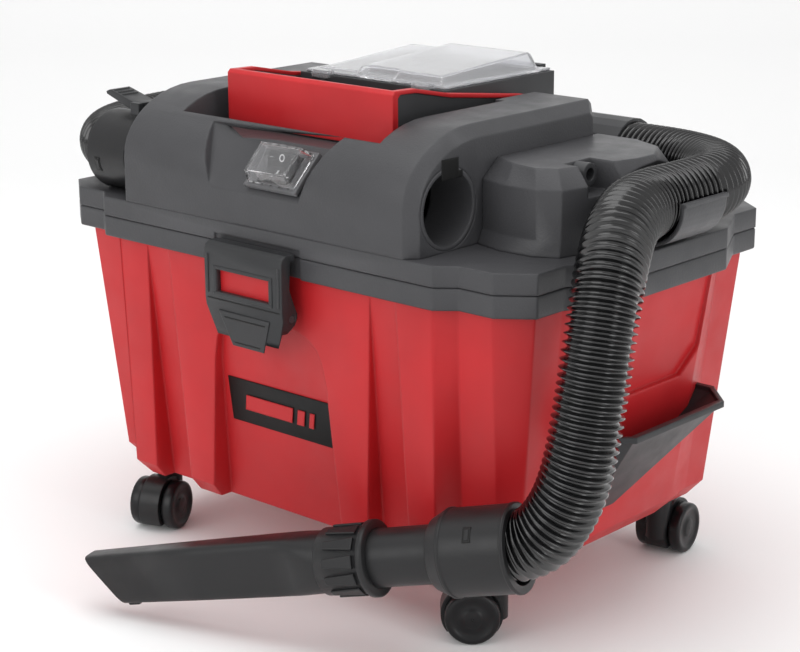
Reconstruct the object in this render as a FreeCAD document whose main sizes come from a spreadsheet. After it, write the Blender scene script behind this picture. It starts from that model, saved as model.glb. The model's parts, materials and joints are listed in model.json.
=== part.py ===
import FreeCAD, Part
import math
import os

# Toolbox-style wet and dry vacuum on four casters, in millimetres.
# X runs along the long side, the switch side faces -Y, and the floor is Z = 0.

V = FreeCAD.Vector
doc = FreeCAD.newDocument("shop_vacuum")
sheet = doc.addObject("Spreadsheet::Sheet", "sizes")

SIZES = {
    # flange outline, one quarter of it
    "flange_front_x": 135.4, "flange_front_y": 129.5, "column_start_x": 146.8,
    "column_y": 120.4, "column_end_x": 170.1, "corner_x": 188.9, "corner_y": 105.9,
    "side_step_y": 82.1, "side_y": 50.1, "side_x": 205.0,
    # heights
    "tank_bottom_z": 46.0, "collar_bottom_z": 204.4, "seam_z": 217.3, "ledge_z": 229.5,
    # tank
    "tank_inset": 6.0, "tank_wall": 2.6, "tank_floor": 3.2, "seam_gap": 0.3,
    "foot_z": 55.0, "foot_bevel": 7.0, "foot_front_x": 128.0, "foot_front_y": 118.0,
    "foot_column_x": 132.0, "foot_column_y": 99.0, "foot_column_end_x": 158.0,
    "foot_corner_x": 168.0, "foot_corner_y": 91.0, "foot_step_y": 72.0, "foot_side_x": 172.0,
    "panel_foot_y": 104.0, "panel_half_width": 56.0, "panel_top_z": 171.0,
    "groove_inner_top_x": 84.0, "groove_outer_top_x": 103.0,
    "groove_inner_foot_x": 75.0, "groove_outer_foot_x": 109.0,
    "end_recess_half_width": 49.0, "end_recess_bottom_z": 141.0, "end_recess_depth": 4.0,
    "label_width": 87.0, "label_height": 29.0, "label_thickness": 0.8, "label_z": 114.0,
    # head
    "head_half_length": 121.0, "head_wall": 2.6, "crease_z": 257.0, "head_top_z": 296.5,
    "head_curve_depth": 57.0, "head_back_y": 38.0, "head_bevel": 6.8,
    "well_half_width": 80.5, "slot_half_width": 74.0, "slot_start_y": -2.0,
    "well_front_y": -110.0, "deck_z": 276.5, "deep_well_front_y": -77.0,
    "well_floor_z": 266.0, "base_plate": 2.6,
    # ports
    "port_radius": 20.8, "port_wall": 2.4, "port_length": 32.0, "port_y": -99.0,
    "port_z": 253.5,
    # motor and filter, hanging in the tank
    "pan_radius": 56.0, "pan_wall": 2.6, "pan_bottom_z": 166.0, "pan_y": -12.0,
    "motor_radius": 39.0, "motor_bottom_z": 199.0, "motor_top_z": 259.0,
    "fan_radius": 50.0, "fan_height": 27.0, "impeller_radius": 43.0,
    "shaft_radius": 4.0, "cage_radius": 30.0, "cage_height": 62.0, "float_radius": 21.0,
    "float_travel": 14.0, "filter_radius": 58.0, "filter_bore": 34.0, "filter_height": 64.0,
    # handle, tray and lid
    "handle_half_width": 67.5, "handle_front_y": -85.0, "handle_bar": 5.0,
    "handle_top_z": 310.5, "handle_bottom_z": 277.5, "handle_arm": 5.0,
    "handle_pivot_y": 30.0, "handle_pivot_z": 287.5, "pin_radius": 2.5,
    "tray_half_width": 59.5, "tray_front_y": -30.5, "tray_back_y": 73.0,
    "tray_bottom_z": 283.0, "tray_top_z": 303.5, "tray_wall": 2.4,
    "lid_half_width": 53.0, "lid_front_y": -27.5, "lid_back_y": 68.0, "lid_wall": 2.0,
    # latches
    "latch_half_width": 32.0, "latch_top_z": 218.6, "latch_pivot_z": 181.5,
    "latch_bottom_z": 151.0, "latch_pin_y": 132.6, "latch_face_y": 141.0,
    # switch
    "switch_width": 42.0, "switch_length": 29.0, "switch_tilt": 45.0, "switch_x": 12.5,
    # casters
    "wheel_radius": 16.0, "wheel_width": 8.0, "caster_gap": 15.0, "caster_trail": 13.0,
    "stem_radius": 4.0, "axle_radius": 2.5, "caster_x": 140.0, "caster_y": 80.0,
    "rear_caster_y": 85.0,
    # hose and tool
    "hose_diameter": 39.0, "cuff_radius": 25.0, "cuff_length": 35.0,
    "tool_cuff_length": 48.0, "pipe_radius": 16.5, "pipe_length": 70.0,
    "collar_length": 32.0, "nozzle_length": 161.0,
    # the origin is under the middle of the whole machine, its hose hook included
    "origin_shift_x": -9.7, "origin_shift_y": 0.0,
}

for row, (word, number) in enumerate(SIZES.items(), start=1):
    sheet.set(f"A{row}", word)
    sheet.set(f"B{row}", str(number))
    sheet.setAlias(f"B{row}", word)
doc.recompute()


class Sizes:
    def __getattr__(self, word):
        return float(sheet.get(word))


S = Sizes()
parts = []


# ---------------------------------------------------------------- helpers

def bind(item, **expressions):
    """Tie an object's properties to cells; a bare word stands for its cell."""
    for prop, text in expressions.items():
        words = [f"sizes.{w}" if w in SIZES else w for w in text.split()]
        item.setExpression(prop, " ".join(words))
    return item


def place(x=0.0, y=0.0, z=0.0, direction=(0, 0, 1)):
    """A placement whose local Z axis points along direction."""
    turn = FreeCAD.Rotation(V(0, 0, 1), V(*direction))
    return FreeCAD.Placement(V(x, y, z), turn)


def cylinder(name, radius, height, where):
    item = doc.addObject("Part::Cylinder", name)
    bind(item, Radius=radius, Height=height)
    item.Placement = where
    return item


def box(name, length, width, height, corner):
    item = doc.addObject("Part::Box", name)
    bind(item, Length=length, Width=width, Height=height)
    item.Placement = place(*corner)
    return item


def cut(name, base, *tools):
    for number, tool in enumerate(tools):
        item = doc.addObject("Part::Cut", f"{name}_cut_{number}")
        item.Base = base
        item.Tool = tool
        base = item
    return base


def fuse(name, *pieces):
    item = doc.addObject("Part::MultiFuse", f"{name}_fuse")
    item.Shapes = list(pieces)
    return item


def prism(name, points, height, where, symmetric=False):
    """A PartDesign body padded from a closed sketch of straight lines."""
    body = doc.addObject("PartDesign::Body", f"{name}_body")
    sketch = body.newObject("Sketcher::SketchObject", f"{name}_sketch")
    plane = [f for f in body.Origin.OriginFeatures if f.Role == "XY_Plane"][0]
    sketch.AttachmentSupport = (plane, [""])
    sketch.MapMode = "FlatFace"
    corners = [V(x, y, 0) for x, y in points]
    for start, end in zip(corners, corners[1:] + corners[:1]):
        sketch.addGeometry(Part.LineSegment(start, end), False)
    pad = body.newObject("PartDesign::Pad", f"{name}_pad")
    pad.Profile = sketch
    bind(pad, Length=height)
    pad.Midplane = symmetric
    body.Placement = where
    return body


def solid(name, shape):
    """A part whose form is set directly, from the sheet's values."""
    item = doc.addObject("Part::Feature", f"{name}_shape")
    item.Shape = shape
    return item


def part(name, item):
    """Register a finished sub-part under its own label."""
    item.Label = name
    parts.append(item)
    return item


def mirrored_quarter(quarter):
    """A closed outline from the corner points of its first quadrant."""
    right = quarter + [(x, -y) for x, y in reversed(quarter)]
    left = [(-x, y) for x, y in reversed(right)]
    return right + left


def wire(points, z):
    corners = [V(x, y, z) for x, y in points]
    return Part.makePolygon(corners + corners[:1])


def extrude(points, low, high):
    return Part.Face(wire(points, low)).extrude(V(0, 0, high - low))


def loft(sections):
    return Part.makeLoft(sections, True, True)


def facets(corners, triangles):
    """A solid from named corner points and its flat triangles."""
    faces = []
    for triangle in triangles:
        loop = [V(*corners[name]) for name in triangle]
        faces.append(Part.Face(Part.makePolygon(loop + loop[:1])))
    body = Part.Solid(Part.Shell(faces))
    if body.Volume < 0:
        body.reverse()
    return body


def side_extrude(points, half_width, centre_x=0.0):
    """A (y, z) outline extruded along X, centred."""
    corners = [V(centre_x - half_width, y, z) for y, z in points]
    face = Part.Face(Part.makePolygon(corners + corners[:1]))
    return face.extrude(V(2 * half_width, 0, 0))


def drill(radius, start, direction, length):
    return Part.makeCylinder(radius, length, V(*start), V(*direction))


def mirror_x(shape):
    return shape.mirror(V(0, 0, 0), V(1, 0, 0))


def mirror_y(shape):
    return shape.mirror(V(0, 0, 0), V(0, 1, 0))


# ---------------------------------------------------------------- outlines

def flange_outline(inset=0.0):
    """The machine's plan: straight sides, stepped corner columns."""
    quarter = [
        (S.flange_front_x - inset, S.flange_front_y - inset),
        (S.column_start_x - inset, S.column_y - inset),
        (S.column_end_x - inset, S.column_y - inset),
        (S.corner_x - inset, S.corner_y - inset),
        (S.corner_x - inset, S.side_step_y - inset),
        (S.side_x - inset, S.side_y - inset),
    ]
    return mirrored_quarter(quarter)


def foot_outline(inset=0.0, front_y=None):
    """The tank's plan near its floor, where every side has drawn in."""
    front = (front_y or S.foot_front_y) - inset
    quarter = [
        (S.foot_front_x - inset, front),
        (S.foot_column_x - inset, S.foot_column_y - inset),
        (S.foot_column_end_x - inset, S.foot_column_y - inset),
        (S.foot_corner_x - inset, S.foot_corner_y - inset),
        (S.foot_corner_x - inset, S.foot_step_y - inset),
        (S.foot_side_x - inset, S.side_y - inset),
    ]
    return mirrored_quarter(quarter)


def between(foot, top, z):
    """The outline part of the way from the foot outline up to the top one."""
    share = (z - S.foot_z) / (S.collar_bottom_z - S.foot_z)
    return [(x0 + (x1 - x0) * share, y0 + (y1 - y0) * share)
            for (x0, y0), (x1, y1) in zip(foot, top)]


# ---------------------------------------------------------------- tank

def tank_form():
    """The drafted outer form with its bevelled foot."""
    walls = loft([wire(foot_outline(), S.foot_z),
                  wire(flange_outline(S.tank_inset), S.collar_bottom_z)])
    foot = loft([wire(foot_outline(S.foot_bevel), S.tank_bottom_z),
                 wire(foot_outline(), S.foot_z)])
    return walls.fuse(foot)


def tank_cavity():
    """The drafted inside, clear of every recess in the walls."""
    floor_z = S.tank_bottom_z + S.tank_floor
    foot = foot_outline(S.tank_wall, S.panel_foot_y)
    top = flange_outline(S.tank_inset + S.tank_wall)
    walls = loft([wire(between(foot, top, floor_z), floor_z), wire(top, S.collar_bottom_z)])
    low = extrude(foot_outline(S.foot_bevel + S.tank_wall, S.panel_foot_y), floor_z, S.foot_z + 4)
    bevel = loft([wire(foot_outline(S.foot_bevel + S.tank_wall, S.panel_foot_y), floor_z),
                  wire(foot, floor_z + 12), wire(top, S.collar_bottom_z)])
    cavity = walls.common(bevel).fuse(low.common(walls))
    ends = [end_recess_cutter(S.tank_wall), mirror_x(end_recess_cutter(S.tank_wall))]
    return cavity.cut(ends)


def panel_y(z):
    """Depth of the drafted wall that lies behind the ribs."""
    top_y = S.flange_front_y - S.tank_inset
    share = (z - S.foot_z) / (S.collar_bottom_z - S.foot_z)
    return -(S.panel_foot_y + (top_y - S.panel_foot_y) * share)


def in_front_of_panel():
    """Everything on the front side of the drafted wall."""
    low = S.tank_bottom_z - 5
    high = S.collar_bottom_z
    points = [(panel_y(low), low), (panel_y(high), high), (-150, high), (-150, low)]
    return side_extrude(points, 200)


def front_recess(points):
    """A recess in the front wall with the (x, z) outline, down to the drafted wall."""
    corners = [V(x, -150, z) for x, z in points]
    face = Part.Face(Part.makePolygon(corners + corners[:1]))
    return face.extrude(V(0, 80, 0)).common(in_front_of_panel())


def panel_cutter():
    """The wide centre recess that carries the label; its top corners are rounded."""
    low = S.tank_bottom_z - 4
    wide = S.panel_half_width
    top = S.panel_top_z
    half = [(wide, low), (wide - 9, 140), (wide - 12, top - 17), (wide - 16, top - 9),
            (wide - 24, top - 3), (wide - 36, top)]
    return front_recess(half + [(-x, z) for x, z in reversed(half)])


def groove_cutter():
    """A groove beside the rib, from nothing at the collar to full depth at the foot."""
    low = S.tank_bottom_z - 4
    top = S.collar_bottom_z - 2
    return front_recess([(S.groove_inner_foot_x, low), (S.groove_outer_foot_x, low),
                         (S.groove_outer_top_x, top), (S.groove_inner_top_x, top)])


def end_recess_cutter(extra):
    """The shallow recess in the end wall, above the accessory pocket."""
    top = S.collar_bottom_z
    low = S.end_recess_bottom_z - extra
    half = S.end_recess_half_width + extra
    corner = 16.0
    outline = [(-half, top), (-half, low + corner), (-half + corner, low),
               (half - corner, low), (half, low + corner), (half, top)]
    lean = (S.side_x - S.tank_inset - S.foot_side_x) / (top - S.foot_z)
    depth = S.end_recess_depth + extra
    corners = [V(S.side_x - S.tank_inset - depth - lean * (top - z), y, z) for y, z in outline]
    face = Part.Face(Part.makePolygon(corners + corners[:1]))
    return face.extrude(V(40, 0, 0))


def tank_recesses():
    groove = groove_cutter()
    front = [panel_cutter(), groove, mirror_x(groove)]
    ends = [end_recess_cutter(0), mirror_x(end_recess_cutter(0))]
    return front + [mirror_y(shape) for shape in front] + ends


def make_tank():
    rim_z = S.seam_z - 1.5
    neck = extrude(flange_outline(S.tank_inset), S.collar_bottom_z, rim_z)
    mouth = extrude(flange_outline(S.tank_inset + S.tank_wall), S.collar_bottom_z, rim_z)
    cavity = tank_cavity()
    tank = tank_form().cut(tank_recesses()).fuse(neck).cut([cavity, mouth])
    sockets = []
    holes = []
    for sx, sy in ((1, 1), (1, -1), (-1, 1), (-1, -1)):
        spot = (sx * S.caster_x, caster_stem_y(sy), S.tank_bottom_z)
        sockets.append(drill(8.0, spot, (0, 0, 1), 16))
        holes.append(drill(S.stem_radius + 0.05, spot, (0, 0, 1), 14))
    tank = tank.fuse(sockets).cut(holes)
    lugs = []
    for side in (-1, 1):
        tip_y = side * (S.latch_pin_y + 4.5)
        lug = side_extrude([(side * 114, 174), (side * 114, 190), (tip_y, 184.5),
                            (tip_y - side * 0.6, 180.5), (tip_y - side * 2.5, 177.3)], 6.0)
        hole = drill(S.pin_radius, (-10, side * S.latch_pin_y, S.latch_pivot_z), (1, 0, 0), 20)
        lugs.append(lug.cut(hole).cut(cavity))
    part("tank", solid("tank", tank.fuse(lugs).removeSplitter()))


def caster_stem_y(side):
    return side * (S.caster_y if side < 0 else S.rear_caster_y)


def make_collar():
    outer = extrude(flange_outline(0), S.collar_bottom_z, S.seam_z)
    inner = extrude(flange_outline(S.tank_inset), S.collar_bottom_z, S.seam_z)
    notches = []
    for side in (-1, 1):
        low, high = sorted((side * (S.flange_front_y - 2.4), side * (S.flange_front_y + 5)))
        notch = Part.makeBox(2 * (S.latch_half_width + 3.2), high - low, 20,
                             V(-S.latch_half_width - 3.2, low, S.collar_bottom_z - 2))
        notches.append(notch)
    part("tank_collar", solid("tank_collar", outer.cut(inner).cut(notches)))


def make_tank_seal():
    outer = extrude(flange_outline(S.tank_inset), S.seam_z - 1.5, S.seam_z)
    inner = extrude(flange_outline(S.tank_inset + S.tank_wall), S.seam_z - 1.5, S.seam_z)
    part("tank_seal", solid("tank_seal", outer.cut(inner)))


def make_label():
    """The blank badge, lying on the sloping centre panel."""
    rise = S.collar_bottom_z - S.foot_z
    slope = math.degrees(math.atan2(panel_y(S.foot_z) - panel_y(S.collar_bottom_z), rise))
    item = box("front_label", "label_width", "label_thickness", "label_height", (0, 0, 0))
    turn = FreeCAD.Rotation(V(1, 0, 0), slope)
    y, z = panel_y(S.label_z), S.label_z
    offset = turn.multVec(V(-S.label_width / 2, -S.label_thickness, -S.label_height / 2))
    item.Placement = FreeCAD.Placement(V(0, y, z) + offset, turn)
    part("front_label", item)


def make_pocket():
    """The open trough on the right end, for the small tools; its floor drops to the front."""
    rim_z = 125.0
    inner_x = 178.5
    outer_x = 209.5
    half = 62.5
    chamfer = 19.0
    wall = 2.2

    def rim(inset, z, reach=0.0):
        return wire([(inner_x - reach, -half + inset), (outer_x - chamfer, -half + inset),
                     (outer_x - inset, -half + chamfer), (outer_x - inset, half - chamfer),
                     (outer_x - chamfer, half - inset), (inner_x - reach, half - inset)], z)

    def foot(inset, z, reach=0.0):
        front, back = -42.0 + inset, -14.0 - inset
        return wire([(inner_x - 12 - reach, front), (inner_x - 3 - inset, front),
                     (inner_x - 2 - inset, front + 2), (inner_x - 2 - inset, back - 2),
                     (inner_x - 3 - inset, back), (inner_x - 12 - reach, back)], z)

    outer = loft([foot(0, 72.0), rim(0, rim_z)])
    inner = loft([foot(wall, 80.0, 1), rim(wall, rim_z, 1)])
    mouth = extrude([(v.X, v.Y) for v in rim(wall, rim_z, 1).OrderedVertexes], rim_z, rim_z + 5)
    lip = extrude([(v.X, v.Y) for v in rim(-2.0, rim_z).OrderedVertexes], rim_z - 1, rim_z + 2.5)
    pocket = outer.fuse(lip).cut([inner, mouth]).cut(tank_form().cut(end_recess_cutter(0)))
    biggest = max(pocket.Solids, key=lambda piece: piece.Volume)
    part("accessory_pocket", solid("accessory_pocket", biggest))


# ---------------------------------------------------------------- latches

def make_latch(name, side):
    """A draw latch hinged low on the tank; its nose sits over the head's catch."""
    face = S.latch_face_y
    pin = S.latch_pin_y
    profile = [
        (face - 4, S.latch_top_z + 1), (face - 1, S.latch_top_z - 1), (face, S.latch_top_z - 4),
        (face, 186), (face - 5, S.latch_bottom_z), (face - 8, S.latch_bottom_z),
        (face - 5.5, 170), (pin - 3.6, 177), (pin - 4.2, 184), (pin - 1.5, 190),
        (pin + 1.8, 199), (pin + 0.8, S.latch_top_z - 3.2), (S.flange_front_y + 0.6, 215.4),
        (S.flange_front_y + 0.6, S.latch_top_z + 1),
    ]
    solid_form = side_extrude([(side * y, z) for y, z in profile], S.latch_half_width)
    trims = []
    for sx in (-1, 1):
        low = [(sx * 33, 184), (sx * 20, 148), (sx * 40, 148), (sx * 40, 184)]
        corners = [V(x, side * 100, z) for x, z in low]
        trims.append(Part.Face(Part.makePolygon(corners + corners[:1])).extrude(V(0, side * 60, 0)))
    y_low = min(side * 100, side * (face - 3.2))
    hollow = Part.makeBox(2 * (S.latch_half_width - 3.2), face - 103.2, 80,
                          V(-S.latch_half_width + 3.2, y_low, 140))
    nose = Part.makeBox(100, 60, 14, V(-50, -30 + side * (S.flange_front_y + 12), 209.5))
    hollow = hollow.cut(nose)
    window = Part.makeBox(43.5, 40, 13.5, V(-21.75, side * face - 20, 190.5))
    hole = drill(S.pin_radius + 0.05, (-60, side * pin, S.latch_pivot_z), (1, 0, 0), 120)
    shape = solid_form.cut(trims + [hollow, window, hole])
    part(name, solid(name, max(shape.Solids, key=lambda piece: piece.Volume)))
    plate_y = side * (face - 4.1)
    plate = Part.makeBox(49, 1.6, 18.5, V(-24.5, plate_y - 0.8, 188))
    part(f"{name}_window", solid(f"{name}_window", plate))
    bolt = drill(S.pin_radius - 0.0, (-S.latch_half_width + 0.4, side * pin, S.latch_pivot_z),
                 (1, 0, 0), 2 * S.latch_half_width - 0.8)
    part(f"{name}_pin", solid(f"{name}_pin", bolt))


# ---------------------------------------------------------------- head

def head_profile(inset=0.0, base_z=None):
    """The head's side view, a list of edges from the front foot round to the back foot."""
    front = -S.flange_front_y + inset
    back = S.head_back_y - inset
    base = S.ledge_z if base_z is None else base_z
    top = S.head_top_z - inset
    centre_y = -S.flange_front_y + S.head_curve_depth
    wide = S.head_curve_depth - inset
    high = top - S.crease_z
    points = [(front, base), (front, S.crease_z)]
    steps = 10
    for step in range(1, steps):
        angle = math.pi - step * math.pi / 2 / steps
        points.append((centre_y + wide * math.cos(angle), S.crease_z + high * math.sin(angle)))
    points += [(centre_y, top), (back - 3, top), (back, top - 3), (back, base)]
    return points


def bevelled_ends():
    """The slices at both ends of the arch, drawn in by the bevel."""
    depth = S.head_bevel
    outer = head_profile()
    inner = head_profile(depth)
    cutters = []
    for sx in (-1, 1):
        section_out = [V(sx * (S.head_half_length - depth), y, z) for y, z in outer]
        section_in = [V(sx * S.head_half_length, y, z) for y, z in inner]
        core = Part.makeLoft([Part.makePolygon(section_out + section_out[:1]),
                              Part.makePolygon(section_in + section_in[:1])], True, True)
        cutters.append(core)
    return cutters


def head_block():
    """The arched block with its bevelled ends."""
    middle = side_extrude(head_profile(), S.head_half_length - S.head_bevel)
    return middle.fuse(bevelled_ends()).removeSplitter()


def well_cutter(extra):
    """The space for the handle and tray: a shallow front step, then a deep well."""
    top = S.head_top_z + 20
    back = S.head_back_y + 20
    wide = S.well_half_width + extra
    slot = S.slot_half_width + extra
    deck = Part.makeBox(2 * wide, S.slot_start_y - S.well_front_y + 2 * extra,
                        top - S.deck_z + extra,
                        V(-wide, S.well_front_y - extra, S.deck_z - extra))
    deep = Part.makeBox(2 * wide, S.slot_start_y - S.deep_well_front_y + 2 * extra,
                        top - S.well_floor_z + extra,
                        V(-wide, S.deep_well_front_y - extra, S.well_floor_z - extra))
    slot_box = Part.makeBox(2 * slot, back - S.slot_start_y, top - S.well_floor_z + extra,
                            V(-slot, S.slot_start_y, S.well_floor_z - extra))
    return deck.fuse([deep, slot_box])


def switch_recess(extra):
    """The recess for the switch: a sloping floor with a triangular facet on its left."""
    foot_y, foot_z = -131.5 + extra, 247.5 - extra
    top_y, top_z = -102 + extra, 277 - extra
    corners = {
        "a": (-37 - extra, foot_y, foot_z), "b": (34 + extra, foot_y, foot_z),
        "c": (50 + extra, top_y, top_z), "d": (-8 - extra, top_y, top_z),
        "e": (55 + extra, -113, 290), "f": (-50 - extra, -113 + extra, 284),
        "g": (55 + extra, -150, 300), "h": (-50 - extra, -150, 300),
    }
    return facets(corners, ["abc", "acd", "adf", "afh", "ahg", "agb", "bgc", "cge", "cef", "cfd",
                            "egh", "ehf"])


def make_head_cover():
    outer = head_block()
    inside = side_extrude(head_profile(S.head_wall, S.ledge_z), S.head_half_length - S.head_bevel
                          - 1.0)
    inside = inside.cut([well_cutter(S.head_wall), switch_recess(S.head_wall)])
    shell = outer.cut([well_cutter(0), switch_recess(0)]).cut(inside)
    for sx in (-1, 1):
        hole = drill(S.port_radius + S.port_wall + 0.1, (sx * 90, S.port_y, S.port_z),
                     (sx, 0, 0), 40)
        pivot = drill(S.pin_radius, (sx * 60, S.handle_pivot_y, S.handle_pivot_z), (sx, 0, 0), 24)
        shell = shell.cut([hole, pivot])
    part("head_cover", solid("head_cover", max(shell.Solids, key=lambda s: s.Volume)))


def make_head_base():
    """The flange tray that closes the tank, with the motor pan hanging in it."""
    low = S.seam_z + S.seam_gap
    flange = extrude(flange_outline(0), low, S.ledge_z)
    skirt_void = extrude(flange_outline(S.tank_inset + 0.5), low, S.ledge_z - S.base_plate)
    pan_top = S.ledge_z
    pan_outer = drill(S.pan_radius, (0, S.pan_y, S.pan_bottom_z), (0, 0, 1),
                      pan_top - S.pan_bottom_z)
    pan_inner = drill(S.pan_radius - S.pan_wall, (0, S.pan_y, S.pan_bottom_z + S.pan_wall),
                      (0, 0, 1), pan_top - S.pan_bottom_z)
    eye = drill(17.0, (0, S.pan_y, S.pan_bottom_z - 1), (0, 0, 1), 10)
    inlet = drill(17.0, (-66, S.port_y, low - 1), (0, 0, 1), 20)
    void = skirt_void.cut(pan_outer)
    base = flange.fuse(pan_outer).cut([void, pan_inner, eye, inlet])
    notches = []
    for side in (-1, 1):
        y = side * (S.flange_front_y - 1.2)
        notches.append(Part.makeBox(2 * (S.latch_half_width + 3.2), 8, 4.2,
                                    V(-S.latch_half_width - 3.2, y - 4 + side * 4, low)))
    cuff_seat = drill(S.cuff_radius + 0.3, (-S.head_half_length, S.port_y, S.port_z),
                      (-1, 0, 0), S.cuff_length + 4)
    base = base.cut(notches + [cuff_seat])
    part("head_base", solid("head_base", base))


def shoulder_outline(low):
    """The shoulder's plan, at its full size or at its smaller flat top."""
    x0 = S.head_half_length + 0.2
    if low:
        return [(x0, -70.5), (142, -76), (163, -75), (175, -68), (179, -50), (190, -10),
                (190, 8), (178, 30), (152, 41), (x0, 41)]
    return [(x0, -57), (140, -66), (157, -69), (168, -63), (172, -48), (183, -10),
            (183, 6), (171, 26), (149, 36), (x0, 36)]


def make_exhaust_cover():
    """The shoulder block beside the head, scooped where the hose passes."""
    low = S.ledge_z
    skirt_z = 238.0
    bevel_z = 266.0
    top = 276.5
    wall = 2.6
    wide = shoulder_outline(True)
    flat = shoulder_outline(False)
    middle = V(150, -18, 0)

    def grown(points, share):
        return [(middle.x + (x - middle.x) * share, middle.y + (y - middle.y) * share)
                for x, y in points]

    skirt = loft([wire(grown(wide, 1.07), low), wire(wide, skirt_z)])
    cap = loft([wire(wide, bevel_z), wire(flat, top)])
    outer = skirt.fuse([extrude(wide, skirt_z, bevel_z), cap])
    room = extrude(grown(wide, 0.93), low, bevel_z)
    room = room.fuse(loft([wire(grown(wide, 0.93), bevel_z), wire(grown(flat, 0.93), top - wall)]))
    keep = Part.makeBox(200, 200, 200, V(S.head_half_length + 0.2, -100, 200))
    scoop = drill(S.hose_diameter / 2 + 1.5, (203, -30, 257), (-0.11, 1, 0), 120)
    scoop = scoop.fuse(drill(S.hose_diameter / 2 + 1.5, (203, -30, 257), (0.11, -1, -0.05), 60))
    scoop_wall = drill(S.hose_diameter / 2 + 3.7, (203, -30, 257), (-0.11, 1, 0), 120)
    scoop_wall = scoop_wall.fuse(drill(S.hose_diameter / 2 + 3.7, (203, -30, 257),
                                       (0.11, -1, -0.05), 60))
    notch = Part.makeBox(34, 24, 20, V(162, -50, 260))
    notch_wall = Part.makeBox(36.4, 28.8, 22.4, V(159.6, -52.4, 257.6))
    room = room.cut([scoop_wall, notch_wall])
    shell = outer.common(keep).cut([room, scoop, notch])
    part("exhaust_cover", solid("exhaust_cover", max(shell.Solids, key=lambda s: s.Volume)))


def make_cord_gland():
    """The outlet ring in the shoulder's notch, with nothing in it."""
    outer = cylinder("gland_outer", "6.5", "9", place(162.1, -38, 270, (1, 0, 0)))
    inner = cylinder("gland_inner", "3.6", "12", place(161, -38, 270, (1, 0, 0)))
    part("cord_gland", cut("cord_gland", outer, inner))


def make_port(name, sx):
    where = place(sx * (S.head_half_length - S.port_length), S.port_y, S.port_z, (sx, 0, 0))
    outer = cylinder(f"{name}_outer", "port_radius + port_wall", "port_length", where)
    bore = cylinder(f"{name}_bore", "port_radius", "port_length", where)
    part(name, cut(name, outer, bore))


def make_inlet_elbow():
    """Turns the incoming air down into the tank, behind the inlet port."""
    end_x = -(S.head_half_length - S.port_length)
    y = S.port_y
    shell = Part.makeBox(44, 37, 43, V(end_x, y - 19, S.ledge_z))
    room = Part.makeBox(41, 33, 41, V(end_x - 1, y - 17, S.ledge_z - 1))
    down = drill(17, (-66, y, 190), (0, 0, 1), S.ledge_z - 190)
    down_bore = drill(15.2, (-66, y, 185), (0, 0, 1), 50)
    clear = S.head_wall + 0.4
    inside = side_extrude(head_profile(clear, S.ledge_z), S.head_half_length)
    inside = inside.cut([well_cutter(clear), switch_recess(clear)])
    shape = shell.cut(room).common(inside).fuse(down).cut(down_bore)
    part("inlet_elbow", solid("inlet_elbow", shape))


def make_release_lever():
    """The thumb lever above the inlet that frees the hose cuff."""
    profile = [(-121.6, 280), (-121.6, 286.5), (-130, 286), (-152, 291.8), (-155.5, 290.4),
               (-155, 288.8), (-133, 281.5), (-129, 280)]
    corners = [V(x, -107, z) for x, z in profile]
    arm = Part.Face(Part.makePolygon(corners + corners[:1])).extrude(V(0, 16, 0))
    ribs = [Part.makeBox(1.6, 12, 1.6, V(-151 + 4 * i, -105, 290.2 - i)) for i in range(3)]
    hole = drill(1.6, (-125, -110, 283), (0, 1, 0), 30)
    part("release_lever", solid("release_lever", arm.fuse(ribs).cut(hole)))


def make_release_bracket():
    """Two ears on the head's end wall that hold the lever's pin."""
    ears = [Part.makeBox(7.9, 3.0, 7.5, V(-128.9, y, 279)) for y in (-110.4, -90.6)]
    pin = drill(1.5, (-125, -110.4, 283), (0, 1, 0), 22.8)
    part("release_bracket", solid("release_pin", pin.fuse(ears)))


# ---------------------------------------------------------------- handle, tray and lid

def make_handle():
    """A U-shaped carry handle: a red outer cover over a dark core."""
    half = S.handle_half_width
    arm = S.handle_arm
    front = S.handle_front_y
    back = S.handle_pivot_y + 6
    pivot_z = S.handle_pivot_z
    side = [(front, S.handle_bottom_z), (front, S.handle_top_z - 2),
            (front + 2, S.handle_top_z), (front + 20, S.handle_top_z - 0.6), (-35, 303.5),
            (back - 2, pivot_z + 7), (back, pivot_z + 4), (back, pivot_z - 5),
            (back - 12, pivot_z - 6), (-60, 281), (front + 6, S.handle_bottom_z)]
    block = side_extrude(side, half)
    inside = Part.makeBox(2 * (half - arm), 200, 100, V(-half + arm, front + S.handle_bar, 250))
    frame = block.cut(inside)
    core_zone = side_extrude([(y + (4.5 if y < -70 else 0), z - (2.4 if z > 290 else -1))
                              for y, z in side], half + 5)
    left = core_zone.common(Part.makeBox(arm - 1.2, 300, 100, V(-half + 1.2, -150, 250)))
    right = mirror_x(left)
    bore = drill(S.pin_radius + 0.05, (-90, S.handle_pivot_y, pivot_z), (1, 0, 0), 180)
    sides = [Part.makeBox(5, 300, 100, V(-half - 3.8, -150, 250)),
             Part.makeBox(5, 300, 100, V(half - 1.2, -150, 250))]
    groove = core_zone.common(sides[0].fuse(sides[1]))
    cover = frame.cut([left, right, groove, bore])
    cover = max(cover.Solids, key=lambda s: s.Volume)
    part("handle_cover", solid("handle_cover", cover))
    core = Part.makeCompound([left.common(frame).cut(bore), right.common(frame).cut(bore)])
    part("handle_core", solid("handle_core", core))
    pins = []
    for sx in (-1, 1):
        pins.append(drill(S.pin_radius, (sx * (half - arm + 0.5), S.handle_pivot_y, pivot_z),
                          (sx, 0, 0), S.slot_half_width + 5 - (half - arm)))
    part("handle_pins", solid("handle_pins", Part.makeCompound(pins)))


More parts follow.
